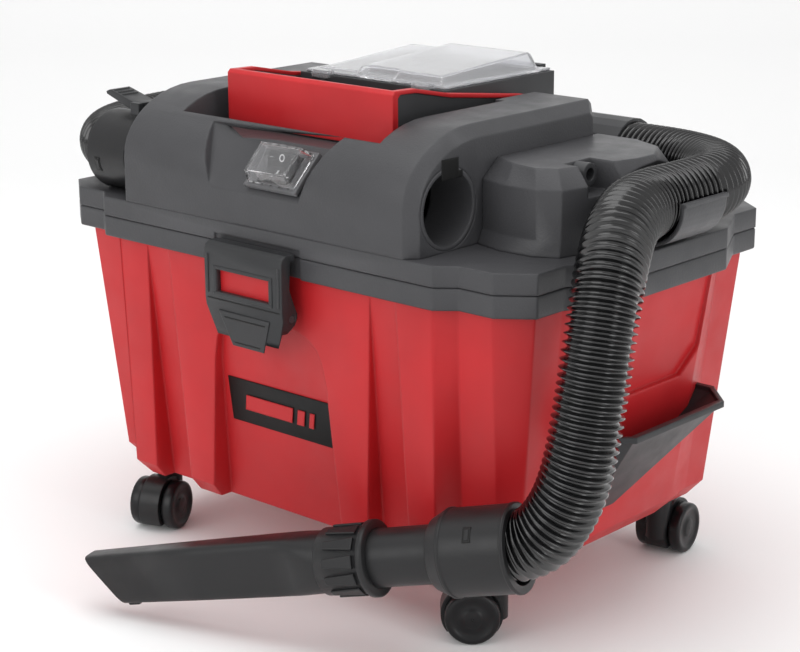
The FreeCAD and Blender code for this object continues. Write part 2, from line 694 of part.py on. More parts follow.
def make_tray():
    """The small parts tray under the clear lid."""
    half = S.tray_half_width
    depth = S.tray_back_y - S.tray_front_y
    outer = Part.makeBox(2 * half, depth, S.tray_top_z - S.tray_bottom_z,
                         V(-half, S.tray_front_y, S.tray_bottom_z))
    wall = S.tray_wall
    inner = Part.makeBox(2 * (half - wall), depth - 2 * wall, 60,
                         V(-half + wall, S.tray_front_y + wall, S.tray_bottom_z + wall))
    foot = Part.makeBox(2 * half - 24, 40, S.tray_bottom_z - S.well_floor_z,
                        V(-half + 12, -25, S.well_floor_z))
    foot_void = Part.makeBox(2 * half - 30, 34, 30, V(-half + 15, -22, S.well_floor_z - 5))
    foot_void = foot_void.common(Part.makeBox(400, 400, S.tray_bottom_z - S.well_floor_z + 5,
                                              V(-200, -200, S.well_floor_z - 5)))
    hinge = []
    for sx in (-1, 1):
        hinge.append(Part.makeBox(8, 6, 9, V(sx * 44 - 4, S.tray_back_y - 0.01, 297)))
    bore = drill(1.5, (-60, S.tray_back_y + 3, 303), (1, 0, 0), 120)
    tray = outer.cut(inner).fuse(foot.cut(foot_void)).fuse(hinge).cut(bore)
    part("storage_tray", solid("storage_tray", tray))


def make_lid():
    """The clear lid: a raised, slightly tilted dome with two front snap tabs."""
    half = S.lid_half_width
    y0, y1 = S.lid_front_y, S.tray_back_y - 1.0
    base = S.tray_top_z + 0.3
    rim_outer = [(-half - 4, y0), (half + 4, y0), (half + 4, y1), (-half - 4, y1)]

    def dome(inset, front_z, back_z):
        low = [V(x * (1 - inset / half), y + inset * (1 if y < 20 else -1), base)
               for x, y in ((-half, y0 + 2), (half, y0 + 2), (half, y1 - 6), (-half, y1 - 6))]
        high = [V(p.x * 0.95, p.y + (3 if p.y < 20 else -3), front_z if p.y < 20 else back_z)
                for p in low]
        return loft([Part.makePolygon(low + low[:1]), Part.makePolygon(high + high[:1])])

    rim = extrude(rim_outer, base, base + S.lid_wall)
    shell = rim.fuse(dome(0, 310.0, 315.5)).cut(dome(S.lid_wall, 308.2, 313.7))
    tabs = []
    for sx in (-1, 1):
        tabs.append(Part.makeBox(15, 5.5, 2.5, V(sx * 41 - 7.5, y0 - 5.4, base)))
        tabs.append(Part.makeBox(15, 2.1, 5.0, V(sx * 41 - 7.5, y0 - 5.4, base - 4.3)))
    barrel = drill(3.0, (-39.5, S.tray_back_y + 3, 303), (1, 0, 0), 79)
    strap = Part.makeBox(79, 6, 1.6, V(-39.5, y1 - 2, base + 0.4))
    bore = drill(1.55, (-60, S.tray_back_y + 3, 303), (1, 0, 0), 120)
    notches = [Part.makeBox(10, 12, 12, V(sx * 44 - 5, y1 - 6, base - 2)) for sx in (-1, 1)]
    shape = shell.cut(notches).fuse(tabs + [barrel, strap]).cut(bore)
    part("tray_lid", solid("tray_lid", shape))
    pin = drill(1.5, (-48, S.tray_back_y + 3, 303), (1, 0, 0), 96)
    part("lid_pin", solid("lid_pin", pin))


# ---------------------------------------------------------------- switch

def switch_place(lift):
    """A placement on the sloping switch floor, local Z pointing out of it."""
    tilt = FreeCAD.Rotation(V(1, 0, 0), S.switch_tilt)
    out = tilt.multVec(V(0, 0, 1))
    middle = V(S.switch_x, -117.0, 262.0)
    return FreeCAD.Placement(middle + out * lift, tilt)


def make_switch():
    w, l = S.switch_width, S.switch_length
    frame = Part.makeBox(w, l, 3.0, V(-w / 2, -l / 2, 0))
    pit = Part.makeBox(24, 19, 3.0, V(-12, -9.5, 0))
    body = Part.makeBox(26, 21, 1.2, V(-13, -10.5, -1.2))
    ear_pin = drill(1.2, (-13, 0, 1.6), (1, 0, 0), 26)
    bezel = frame.cut(pit).fuse(ear_pin).fuse(body)
    item = solid("switch_bezel", bezel)
    item.Placement = switch_place(1.3)
    part("switch_bezel", item)
    profile = [(-8.7, 1.9), (-8.7, 3.6), (-8.2, 4.6), (0, 3.4), (8.2, 7.2), (8.7, 6.2),
               (8.7, 3.6), (3, 1.0), (-3, 1.0)]
    corners = [V(-11.2, y, z) for y, z in profile]
    rocker = Part.Face(Part.makePolygon(corners + corners[:1])).extrude(V(22.4, 0, 0))
    rocker = rocker.cut(drill(1.25, (-20, 0, 1.6), (1, 0, 0), 40))
    item = solid("switch_rocker", rocker)
    item.Placement = switch_place(1.3)
    part("switch_rocker", item)
    foot = [V(-w / 2 + 2, -l / 2 + 2, 3), V(w / 2 - 2, -l / 2 + 2, 3),
            V(w / 2 - 2, l / 2 - 2, 3), V(-w / 2 + 2, l / 2 - 2, 3)]
    crown = [V(p.x * 0.86, p.y * 0.84, 12.5) for p in foot]
    dome = loft([Part.makePolygon(foot + foot[:1]), Part.makePolygon(crown + crown[:1])])
    foot_in = [V(p.x * 0.92, p.y * 0.9, 3) for p in foot]
    crown_in = [V(p.x * 0.9, p.y * 0.88, 11.3) for p in crown]
    void = loft([Part.makePolygon(foot_in + foot_in[:1]),
                 Part.makePolygon(crown_in + crown_in[:1])])
    item = solid("switch_boot", dome.cut(void))
    item.Placement = switch_place(1.3)
    part("switch_boot", item)


# ---------------------------------------------------------------- motor, fan, float and filter

def make_motor():
    y = S.pan_y
    part("motor", cylinder("motor", "motor_radius", "motor_top_z - motor_bottom_z",
                           place(0, y, S.motor_bottom_z)))
    low = S.pan_bottom_z + S.pan_wall
    shell = cylinder("fan_outer", "fan_radius", "fan_height", place(0, y, low))
    room = cylinder("fan_room", "fan_radius - 2", "fan_height - 4", place(0, y, low + 2))
    eye = cylinder("fan_eye", "20", "4", place(0, y, low - 1))
    neck = cylinder("fan_neck", "6", "6", place(0, y, low + S.fan_height - 3))
    part("fan_housing", cut("fan_housing", shell, room, eye, neck))


def make_impeller():
    """Closed impeller: two discs with backward curved vanes and a hub."""
    y = S.pan_y
    low = S.pan_bottom_z + S.pan_wall + 4.5
    high = 16.0
    radius = S.impeller_radius
    lower = drill(radius, (0, y, low), (0, 0, 1), 1.4)
    lower = lower.cut(drill(17, (0, y, low - 1), (0, 0, 1), 4))
    upper = drill(radius, (0, y, low + high - 1.4), (0, 0, 1), 1.4)
    hub = drill(8, (0, y, low + 4), (0, 0, 1), high - 4)
    vanes = []
    for number in range(7):
        blade = Part.makeBox(radius - 18, 1.4, high - 1.4, V(0, 0, 0))
        turn = FreeCAD.Rotation(V(0, 0, 1), number * 360 / 7)
        lean = FreeCAD.Rotation(V(0, 0, 1), -38)
        root = turn.multVec(V(18, 0, 0)) + V(0, y, low + 0.7)
        blade.Placement = FreeCAD.Placement(root, turn.multiply(lean))
        vanes.append(blade)
    rim = drill(radius, (0, y, low), (0, 0, 1), high)
    wheel = lower.fuse([upper, hub] + [vane.common(rim) for vane in vanes])
    wheel = wheel.cut(drill(S.shaft_radius, (0, y, low - 5), (0, 0, 1), 40))
    part("impeller", solid("impeller", wheel))
    part("motor_shaft", cylinder("motor_shaft", "shaft_radius",
                                 "motor_bottom_z - pan_bottom_z - pan_wall - 8.8",
                                 place(0, y, S.pan_bottom_z + S.pan_wall + 8.5)))


def make_float():
    y = S.pan_y
    top = S.pan_bottom_z
    low = top - S.cage_height
    radius = S.cage_radius
    outer = drill(radius, (0, y, low), (0, 0, 1), S.cage_height)
    inner = drill(radius - 2, (0, y, low + 2), (0, 0, 1), S.cage_height)
    slots = []
    for number in range(4):
        slot = Part.makeBox(90, 16, S.cage_height - 22, V(-45, -8, low + 8))
        slot.Placement = FreeCAD.Placement(V(0, y, 0), FreeCAD.Rotation(V(0, 0, 1), 45 * number))
        slots.append(slot)
    part("float_cage", solid("float_cage", outer.cut(inner).cut(slots)))
    ball = doc.addObject("Part::Sphere", "float_ball")
    bind(ball, Radius="float_radius")
    ball.Placement = place(0, y, low + 2.3 + S.float_radius)
    part("float_ball", ball)


def make_filter():
    """The pleated cartridge filter with its two end rings."""
    y = S.pan_y
    top = S.pan_bottom_z
    low = top - S.filter_height
    pleats = 36
    points = []
    for number in range(2 * pleats):
        radius = S.filter_radius - (4 if number % 2 else 1.2)
        angle = math.pi * number / pleats
        points.append((radius * math.cos(angle), y + radius * math.sin(angle)))
    body = extrude(points, low, top)
    bore = drill(S.filter_bore, (0, y, low - 1), (0, 0, 1), S.filter_height + 2)
    rings = []
    for z in (low, top - 4):
        rings.append(drill(S.filter_radius, (0, y, z), (0, 0, 1), 4))
    part("cartridge_filter", solid("cartridge_filter", body.fuse(rings).cut(bore)))


# ---------------------------------------------------------------- hose hooks and screws

def hook_section(axis_point, along, length, start_angle, end_angle, inner, thick):
    """A C-shaped strip round a hose axis; angles run from the up direction."""
    outer = inner + thick
    steps = 14
    loop = []
    for radius, order in ((inner, 1), (outer, -1)):
        arc = []
        for step in range(steps + 1):
            angle = math.radians(start_angle + (end_angle - start_angle) * step / steps)
            across = radius * math.sin(angle)
            up = radius * math.cos(angle)
            if along == "x":
                arc.append(V(axis_point[0], axis_point[1] + across, axis_point[2] + up))
            else:
                arc.append(V(axis_point[0] + across, axis_point[1], axis_point[2] + up))
        loop += arc[::order]
    face = Part.Face(Part.makePolygon(loop + loop[:1]))
    push = V(length, 0, 0) if along == "x" else V(0, length, 0)
    return face.extrude(push)


def make_hose_hooks():
    inner = S.hose_diameter / 2 + 0.6
    thick = 2.2
    clip = hook_section((68, 86, 255.5), "x", 44, -190, 52, inner, thick)
    post = Part.makeBox(44, 5, 255.5 - inner - S.ledge_z, V(68, 83.5, S.ledge_z))
    part("rear_hose_hook", solid("rear_hose_hook", clip.fuse(post)))
    inner = inner + 1.6
    clip = hook_section((202.2, -27, 256), "y", 42, 82, 205, inner, thick)
    lip = Part.makeBox(3.4, 42, 2.2, V(202.2 + inner, -27, 256 + 0.9))
    post = Part.makeBox(6, 42, 256 - inner - S.ledge_z - 0.8, V(193.4, -27, S.ledge_z))
    part("side_hose_hook", solid("side_hose_hook", clip.fuse([lip, post])))


def make_screws():
    """Four self-tapping screws that hold the shoulder and head to the base."""
    screws = []
    for x, y in ((-150, 20), (-150, -40), (40, 64), (-40, 64)):
        head = drill(3.6, (x, y, S.ledge_z), (0, 0, 1), 2.0)
        slot = Part.makeBox(5, 0.9, 1.1, V(x - 2.5, y - 0.45, S.ledge_z + 1.1))
        screws.append(head.cut(slot))
    part("base_screws", solid("base_screws", Part.makeCompound(screws)))


# ---------------------------------------------------------------- casters

CASTERS = {
    # name: (side in x, side in y, swivel angle in degrees)
    "front_right": (1, -1, 132.0),
    "front_left": (-1, -1, 200.0),
    "rear_right": (1, 1, 8.0),
    "rear_left": (-1, 1, -30.0),
}


def make_caster(name, sx, sy, swivel):
    """Twin-wheel hooded caster. Local X is its axle, local -Y its trail."""
    turn = FreeCAD.Rotation(V(0, 0, 1), swivel)
    where = FreeCAD.Placement(V(sx * S.caster_x, caster_stem_y(sy), 0), turn)
    trail = S.caster_trail
    radius = S.wheel_radius
    half_gap = S.caster_gap / 2 - 0.4
    centre = V(-half_gap, trail, radius)
    hood = Part.makeCylinder(radius + 2.2, 2 * half_gap, centre, V(1, 0, 0))
    lower = Part.makeBox(60, 60, 9, V(-30, trail - 30, -4))
    hood = hood.cut(lower)
    barrel = drill(8.2, (0, 0, radius - 4), (0, 0, 1), S.tank_bottom_z - 0.5 - radius + 4)
    bridge = Part.makeBox(2 * half_gap, trail, 14, V(-half_gap, 0, radius))
    axle_bore = drill(S.axle_radius + 0.05, (-20, trail, radius), (1, 0, 0), 40)
    stem_bore = drill(S.stem_radius, (0, 0, 26), (0, 0, 1), 30)
    clearance = []
    for side in (-1, 1):
        start = side * (S.caster_gap / 2 - 0.35)
        clearance.append(drill(radius + 0.8, (start, trail, radius), (side, 0, 0), 14))
    shape = hood.fuse([barrel, bridge]).cut([axle_bore, stem_bore] + clearance)
    hood_item = solid(f"caster_hood_{name}", max(shape.Solids, key=lambda s: s.Volume))
    hood_item.Placement = where
    part(f"caster_hood_{name}", hood_item)
    stem = doc.addObject("Part::Cylinder", f"stem_{name}")
    bind(stem, Radius="stem_radius", Height="tank_bottom_z - 26 + 13")
    stem.Placement = place(sx * S.caster_x, caster_stem_y(sy), 26)
    part(f"caster_stem_{name}", stem)
    axle = doc.addObject("Part::Cylinder", f"axle_{name}")
    bind(axle, Radius="axle_radius", Height="caster_gap + 2 * wheel_width - 3")
    length = S.caster_gap + 2 * S.wheel_width - 3
    spin_place = FreeCAD.Placement(V(-length / 2, trail, radius),
                                   FreeCAD.Rotation(V(0, 0, 1), V(1, 0, 0)))
    axle.Placement = where.multiply(spin_place)
    part(f"caster_axle_{name}", axle)
    wheels = []
    for side in (-1, 1):
        start = side * S.caster_gap / 2
        disc = Part.makeCylinder(radius, S.wheel_width, V(start, trail, radius), V(side, 0, 0))
        rim_edges = [edge for edge in disc.Edges if edge.Closed]
        disc = disc.makeFillet(1.4, rim_edges)
        bore = drill(S.axle_radius, (start - side * 5, trail, radius), (side, 0, 0),
                     S.wheel_width + 3.5)
        wheels.append(disc.cut(bore))
    item = solid(f"caster_wheels_{name}", Part.makeCompound(wheels))
    item.Placement = where
    part(f"caster_wheels_{name}", item)


# ---------------------------------------------------------------- hose and tool

HOSE_ROUTE = [
    (-128, -99, 253.5), (-156, -99, 253.5), (-180, -88, 254), (-193, -66, 255),
    (-196, -36, 256), (-196, 8, 256.5), (-184, 48, 256), (-152, 76, 256), (-106, 87, 256),
    (-48, 85.5, 255.5), (10, 87, 255.5), (62, 86, 255.5), (116, 86, 256), (157, 80, 257),
    (190, 62, 257.5), (205, 34, 257), (203, 2, 256), (201, -30, 256), (210, -60, 253),
    (222, -86, 238), (228, -102, 208), (228, -110, 168), (226, -117, 130), (217, -120, 104),
    (201.2, -124.25, 84.4), (179, -131.5, 79),
]
TOOL_AXIS = (-0.926, -0.302, -0.226)


def hose_wire(route):
    """Straight runs joined by tangent arcs, each as large as its runs allow."""
    points = [V(*p) for p in route]
    edges = []
    radii = []
    last = points[0]
    for before, corner, after in zip(points, points[1:], points[2:]):
        into = (corner - before).normalize()
        away = (after - corner).normalize()
        turn = into.getAngle(away)
        run = min((corner - before).Length, (after - corner).Length)
        trim = 0.45 * run
        radii.append(trim / math.tan(turn / 2))
        start = corner - into * trim
        end = corner + away * trim
        inward = (away - into).normalize()
        reach = radii[-1] * (1 / math.cos(turn / 2) - 1)
        middle = corner + inward * reach
        edges.append(Part.LineSegment(last, start).toShape())
        edges.append(Part.Arc(start, middle, end).toShape())
        last = end
    edges.append(Part.LineSegment(last, points[-1]).toShape())
    return Part.Wire(edges), radii


def make_hose():
    path, radii = hose_wire(HOSE_ROUTE)
    start = V(*HOSE_ROUTE[0])
    heading = (V(*HOSE_ROUTE[1]) - start).normalize()
    ring = Part.Wire(Part.makeCircle(S.hose_diameter / 2, start, heading))
    sweep = path.makePipeShell([ring], True, False)
    expected = math.pi * (S.hose_diameter / 2) ** 2 * path.Length
    print("hose length", round(path.Length, 1), "radii", [round(r, 1) for r in radii])
    print("hose volume over section times length", round(sweep.Volume / expected, 4))
    part("hose", solid("hose", sweep))


def make_port_cuff():
    """The cuff that plugs the hose into the inlet."""
    x = -S.head_half_length - 0.4
    outer = drill(S.cuff_radius, (x, S.port_y, S.port_z), (-1, 0, 0), S.cuff_length)
    spigot = drill(S.port_radius - 0.4, (x + 26, S.port_y, S.port_z), (-1, 0, 0), 30)
    bore = drill(S.hose_diameter / 2, (HOSE_ROUTE[0][0], S.port_y, S.port_z), (-1, 0, 0), 60)
    throat = drill(17, (x + 40, S.port_y, S.port_z), (-1, 0, 0), 60)
    part("port_cuff", solid("port_cuff", outer.fuse(spigot).cut([bore, throat])))


def along_tool(distance, radius, length):
    axis = V(*TOOL_AXIS).normalize()
    start = tool_start() + axis * distance
    return Part.makeCylinder(radius, length, start, axis)


def tool_start():
    """The hose-side face of the tool cuff."""
    axis = V(*TOOL_AXIS).normalize()
    return V(*HOSE_ROUTE[-1]) - axis * 18


def make_tool():
    length = S.tool_cuff_length
    cuff = along_tool(0, S.cuff_radius - 0.5, length - 8)
    axis = V(*TOOL_AXIS).normalize()
    cone_start = tool_start() + axis * (length - 8)
    cone = Part.makeCone(S.cuff_radius - 0.5, S.pipe_radius + 4, 8, cone_start, axis)
    bore = along_tool(-1, S.hose_diameter / 2, 19)
    mouth = Part.makeCone(S.hose_diameter / 2 + 0.7, S.hose_diameter / 2, 10,
                          tool_start() - axis * 0.5, axis)
    throat = along_tool(0, S.pipe_radius + 0.2, 80)
    part("tool_cuff", solid("tool_cuff", cuff.fuse(cone).cut([bore, mouth, throat])))
    pipe = along_tool(28, S.pipe_radius, S.pipe_length).cut(along_tool(27, 14, 90))
    part("tool_pipe", solid("tool_pipe", pipe))
    collar_start = length + 38
    collar = along_tool(collar_start, 19.5, S.collar_length)
    collar = collar.cut(along_tool(collar_start - 1, S.pipe_radius + 0.2, 14))
    collar = collar.cut(along_tool(collar_start, 14, 60))
    lip = along_tool(collar_start, 21.8, 4).cut(along_tool(collar_start - 1, S.pipe_radius + 0.2, 8))
    up = V(0, 0, 1) - axis * axis.z
    up.normalize()
    across = axis.cross(up)

    def flat_section(distance, half_up, half_across, shift_up=0.0):
        middle = tool_start() + axis * distance + up * shift_up
        loop = []
        for step in range(20):
            angle = 2 * math.pi * step / 20
            c, s = math.cos(angle), math.sin(angle)
            power = 0.45
            u = math.copysign(abs(s) ** power, s) * half_up
            w = math.copysign(abs(c) ** power, c) * half_across
            loop.append(middle + up * u + across * w)
        return Part.makePolygon(loop + loop[:1])

    start = collar_start + S.collar_length - 2
    stations = ((start, 17.5, 14.5), (start + 22, 17.5, 10.5), (start + S.nozzle_length, 15.5, 9.0))
    outer = loft([flat_section(*station) for station in stations])
    thin = 1.8
    inner = loft([flat_section(d + (1 if n else -3), u - thin, w - thin)
                  for n, (d, u, w) in enumerate(stations)])
    tip = tool_start() + axis * (start + S.nozzle_length)
    slant = axis - up * 0.68
    slant.normalize()
    slab = Part.makeBox(200, 200, 60, V(-100, -100, 0))
    slab.Placement = FreeCAD.Placement(tip + up * 15.5, FreeCAD.Rotation(V(0, 0, 1), slant))
    nozzle = outer.fuse([collar, lip]).cut(inner).cut(along_tool(collar_start, 14, 40))
    nozzle = nozzle.cut(along_tool(collar_start - 1, S.pipe_radius + 0.2, 14))
    nozzle = nozzle.cut(slab)
    part("crevice_tool", solid("crevice_tool", max(nozzle.Solids, key=lambda s: s.Volume)))


# ---------------------------------------------------------------- build

make_tank()
make_collar()
make_tank_seal()
make_label()
make_pocket()
make_latch("front_latch", -1)
make_latch("rear_latch", 1)
make_head_base()
make_head_cover()
make_exhaust_cover()
make_cord_gland()
make_port("blower_port", 1)
make_port("inlet_port", -1)
make_inlet_elbow()
make_release_lever()
make_release_bracket()
make_handle()
make_tray()
make_lid()
make_switch()
make_motor()
make_impeller()
make_float()
make_filter()
make_hose_hooks()
make_screws()
for caster_name, (side_x, side_y, angle) in CASTERS.items():
    make_caster(caster_name, side_x, side_y, angle)
make_hose()
make_port_cuff()
make_tool()

doc.recompute()
shift = V(S.origin_shift_x, S.origin_shift_y, 0)
for item in parts:
    item.Placement.Base = item.Placement.Base + shift
doc.recompute()

for item in doc.Objects:
    for word in ("Invalid", "Error"):
        if word in item.State:
            raise RuntimeError(f"{item.Label} failed: {item.State}")
for item in parts:
    if item.Shape.isNull() or not item.Shape.isValid():
        raise RuntimeError(f"{item.Label} has no valid shape")

os.makedirs("parts", exist_ok=True)
for item in parts:
    item.Shape.exportStep(f"parts/{item.Label}.step")
print(len(parts), "parts")
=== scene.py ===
import json
import math

import bmesh
import bpy
from mathutils import Matrix, Vector

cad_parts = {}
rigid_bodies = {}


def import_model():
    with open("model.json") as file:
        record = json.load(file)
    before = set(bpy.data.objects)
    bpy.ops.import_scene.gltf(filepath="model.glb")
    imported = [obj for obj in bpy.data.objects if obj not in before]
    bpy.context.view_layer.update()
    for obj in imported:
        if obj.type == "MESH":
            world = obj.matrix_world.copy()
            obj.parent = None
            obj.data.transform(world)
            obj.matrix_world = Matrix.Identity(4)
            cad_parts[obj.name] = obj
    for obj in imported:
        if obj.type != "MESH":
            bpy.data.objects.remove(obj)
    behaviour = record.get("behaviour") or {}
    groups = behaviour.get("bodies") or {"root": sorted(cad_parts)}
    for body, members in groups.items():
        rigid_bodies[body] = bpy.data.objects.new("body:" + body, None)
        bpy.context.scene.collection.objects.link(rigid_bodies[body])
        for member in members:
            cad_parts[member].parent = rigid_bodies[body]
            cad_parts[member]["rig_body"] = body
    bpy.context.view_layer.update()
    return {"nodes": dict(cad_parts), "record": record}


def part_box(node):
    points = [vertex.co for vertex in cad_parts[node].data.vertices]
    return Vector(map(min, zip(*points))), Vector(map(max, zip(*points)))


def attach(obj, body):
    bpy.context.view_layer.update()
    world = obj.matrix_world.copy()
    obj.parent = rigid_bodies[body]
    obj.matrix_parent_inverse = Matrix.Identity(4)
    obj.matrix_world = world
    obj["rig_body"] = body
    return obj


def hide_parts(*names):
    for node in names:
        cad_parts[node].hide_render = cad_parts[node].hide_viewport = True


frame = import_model()

# The machine is drawn about its own middle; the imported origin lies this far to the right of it.
ORIGIN_SHIFT = Vector((-0.0097, 0.0, 0.0))
HOSE_DIAMETER = 0.039
MM = 0.001


def at(x, y, z):
    """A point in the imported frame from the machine's own millimetres."""
    return Vector((x, y, z)) * MM + ORIGIN_SHIFT


# ---------------------------------------------------------------- camera

def make_camera():
    """The photograph's viewpoint: a long lens, right of the front and above the machine."""
    eye = at(818.7, -911.6, 492.8)
    target = at(-1.9, -3.1, 143.4)
    roll_degrees = -0.28
    data = bpy.data.cameras.new("photo_camera")
    data.lens = 90.15
    data.sensor_width = 36.0
    camera = bpy.data.objects.new("photo_camera", data)
    bpy.context.scene.collection.objects.link(camera)
    camera.location = eye
    aim = target - camera.location
    turn = aim.to_track_quat("-Z", "Y").to_matrix().to_4x4()
    roll = Matrix.Rotation(math.radians(roll_degrees), 4, "Z")
    camera.matrix_world = Matrix.Translation(camera.location) @ turn @ roll
    bpy.context.scene.camera = camera


# ---------------------------------------------------------------- materials

class Nodes:
    """A short way to build one material's node tree."""

    def __init__(self, name, base, roughness, metallic=0.0):
        self.material = bpy.data.materials.new(name)
        self.material.use_nodes = True
        self.tree = self.material.node_tree
        self.shader = self.tree.nodes["Principled BSDF"]
        self.shader.inputs["Base Color"].default_value = (*base, 1)
        self.shader.inputs["Roughness"].default_value = roughness
        self.shader.inputs["Metallic"].default_value = metallic
        self.base = base
        self.roughness = roughness
        self.place = self.add("ShaderNodeTexCoord").outputs["Object"]

    def add(self, kind, **settings):
        """A new node; a setting goes to the input of that name, or else to the property."""
        node = self.tree.nodes.new(kind)
        for key, value in settings.items():
            if key in node.inputs:
                node.inputs[key].default_value = value
            else:
                setattr(node, key, value)
        return node

    def link(self, output, socket):
        self.tree.links.new(output, socket)

    def noise(self, scale, detail=2.0):
        node = self.add("ShaderNodeTexNoise", Scale=scale, Detail=detail)
        self.link(self.place, node.inputs["Vector"])
        return node.outputs["Fac"]

    def mapped(self, value, low_in, high_in, low, high):
        node = self.add("ShaderNodeMapRange")
        self.link(value, node.inputs["Value"])
        for number, setting in enumerate((low_in, high_in, low, high), start=1):
            node.inputs[number].default_value = setting
        return node.outputs["Result"]

    def mix(self, amount, first, second):
        """A colour between two others; a colour is a tuple or another node's output."""
        node = self.add("ShaderNodeMix", data_type="RGBA")
        self.link(amount, node.inputs["Factor"])
        for socket, colour in ((node.inputs[6], first), (node.inputs[7], second)):
            if isinstance(colour, tuple):
                socket.default_value = (*colour, 1)
            else:
                self.link(colour, socket)
        return node.outputs[2]

    def vary_colour(self, scale, shade, edge=None):
        """Soft patches of a slightly different shade, and a paler colour on sharp edges."""
        patch = self.mapped(self.noise(scale, 4.0), 0.3, 0.7, 0.0, 1.0)
        darker = tuple(c * shade for c in self.base)
        colour = self.mix(patch, self.base, darker)
        if edge:
            sharp = self.add("ShaderNodeNewGeometry").outputs["Pointiness"]
            edge_share = self.mapped(sharp, 0.56, 0.66, 0.0, 0.30)
            colour = self.mix(edge_share, colour, edge)
        self.link(colour, self.shader.inputs["Base Color"])

    def vary_roughness(self, scale, spread):
        smear = self.mapped(self.noise(scale, 5.0), 0.3, 0.7,
                            max(self.roughness - spread, 0.02), self.roughness + spread)
        self.link(smear, self.shader.inputs["Roughness"])

    def bump(self, height, strength, distance, round_edge=0.0):
        """Fine relief, over edges that look rounded to the given radius."""
        node = self.add("ShaderNodeBump", Strength=strength, Distance=distance)
        self.link(height, node.inputs["Height"])
        if round_edge:
            bevel = self.add("ShaderNodeBevel", samples=6, Radius=round_edge)
            self.link(bevel.outputs["Normal"], node.inputs["Normal"])
        self.link(node.outputs["Normal"], self.shader.inputs["Normal"])


def moulded(name, base, roughness, grain=1400.0, depth=0.00006, strength=0.35, edge=None,
            round_edge=0.0015, coat=0.0, specular=0.32):
    """Moulded plastic: fine grain, faint smears and slightly paler sharp edges."""
    nodes = Nodes(name, base, roughness)
    nodes.vary_colour(22.0, 0.86, edge)
    nodes.vary_roughness(60.0, 0.07)
    nodes.bump(nodes.noise(grain, 2.0), strength, depth, round_edge)
    nodes.shader.inputs["Coat Weight"].default_value = coat
    nodes.shader.inputs["Coat Roughness"].default_value = 0.12
    nodes.shader.inputs["Specular IOR Level"].default_value = specular
    return nodes.material


def metal(name, base, roughness):
    """Bare metal with fine scratches and a smeared shine."""
    nodes = Nodes(name, base, roughness, 1.0)
    nodes.vary_roughness(120.0, 0.08)
    nodes.vary_colour(80.0, 0.8)
    nodes.bump(nodes.noise(900.0), 0.2, 0.00003, 0.0006)
    return nodes.material


def clear_plastic(name, tint, roughness, milk):
    """See-through plastic, a little milky and scuffed."""
    nodes = Nodes(name, tint, roughness)
    nodes.vary_roughness(90.0, 0.04)
    nodes.vary_colour(30.0, 0.95)
    nodes.bump(nodes.noise(200.0), 0.05, 0.00002)
    nodes.shader.inputs["Transmission Weight"].default_value = 1.0 - milk
    nodes.shader.inputs["IOR"].default_value = 1.35
    nodes.shader.inputs["Coat Weight"].default_value = 0.3
    return nodes.material


def make_materials():
    """Every material by name; the names match the record's slots where there is one."""
    red = (0.52, 0.016, 0.020)
    grey_edge = (0.10, 0.10, 0.105)
    label = dict(grain=900.0, depth=0.00003, strength=0.1)
    glossy = dict(roughness=0.3, grain=900.0, depth=0.00003, strength=0.15)
    plastics = {
        "tank_red": dict(base=red, roughness=0.42, grain=700.0, depth=0.00005, strength=0.2,
                         round_edge=0.0022),
        "accent_red": dict(base=red, roughness=0.45, grain=1100.0, depth=0.00008, strength=0.4,
                           round_edge=0.0014),
        "head_grey": dict(base=(0.056, 0.056, 0.060), roughness=0.42, grain=900.0,
                          depth=0.00020, strength=0.75, edge=grey_edge, round_edge=0.0020),
        "trim_grey": dict(base=(0.026, 0.027, 0.029), roughness=0.40, grain=1500.0,
                          depth=0.00007, strength=0.4, edge=grey_edge, round_edge=0.0012),
        "tool_grey": dict(base=(0.015, 0.015, 0.016), roughness=0.38, grain=1100.0,
                          depth=0.00012, strength=0.5, round_edge=0.0010),
        "rubber_black": dict(base=(0.02, 0.02, 0.02), roughness=0.8, grain=900.0),
        "label_black": dict(base=(0.002, 0.002, 0.002), roughness=0.55, **label),
        "label_red": dict(base=red, roughness=0.45, **label),
        "hose_black": dict(base=(0.003, 0.003, 0.0035), roughness=0.17, grain=800.0,
                           depth=0.00003, strength=0.15, round_edge=0.0, coat=0.5, specular=0.5),
        "caster_black": dict(base=(0.007, 0.007, 0.008), roughness=0.34, grain=900.0,
                             depth=0.00004, strength=0.25, edge=(0.03, 0.03, 0.03),
                             round_edge=0.0008),
        "float_white": dict(base=(0.75, 0.75, 0.72), roughness=0.5),
        "switch_white": dict(base=(0.12, 0.12, 0.125), **glossy),
        "rocker_grey": dict(base=(0.035, 0.035, 0.037), **glossy),
        "mark_white": dict(base=(0.8, 0.8, 0.8), roughness=0.5),
        # mark_black is used only as painted shade: thin dark plates in grooves, catch slots and
        # the port notch
        "mark_black": dict(base=(0.006, 0.006, 0.006), roughness=0.5),
        "filter_paper": dict(base=(0.8, 0.78, 0.7), roughness=0.9, grain=500.0, depth=0.0002,
                             strength=0.6),
    }
    kit = {name: moulded(name, **settings) for name, settings in plastics.items()}
    kit["steel"] = metal("steel", (0.55, 0.55, 0.56), 0.3)
    kit["aluminium"] = metal("aluminium", (0.7, 0.7, 0.72), 0.42)
    kit["clear_smoke"] = clear_plastic("clear_smoke", (0.97, 0.975, 1.0), 0.08, 0.20)
    kit["clear_boot"] = clear_plastic("clear_boot", (0.97, 0.97, 0.98), 0.06, 0.03)
    return kit


# Nodes whose finish here is finer than their record slot.
FINISHES = {
    "port_cuff": "tool_grey", "tool_cuff": "tool_grey", "tool_pipe": "tool_grey",
    "crevice_tool": "tool_grey", "switch_rocker": "rocker_grey",
    "front_latch_pin": "trim_grey", "rear_latch_pin": "trim_grey",
}


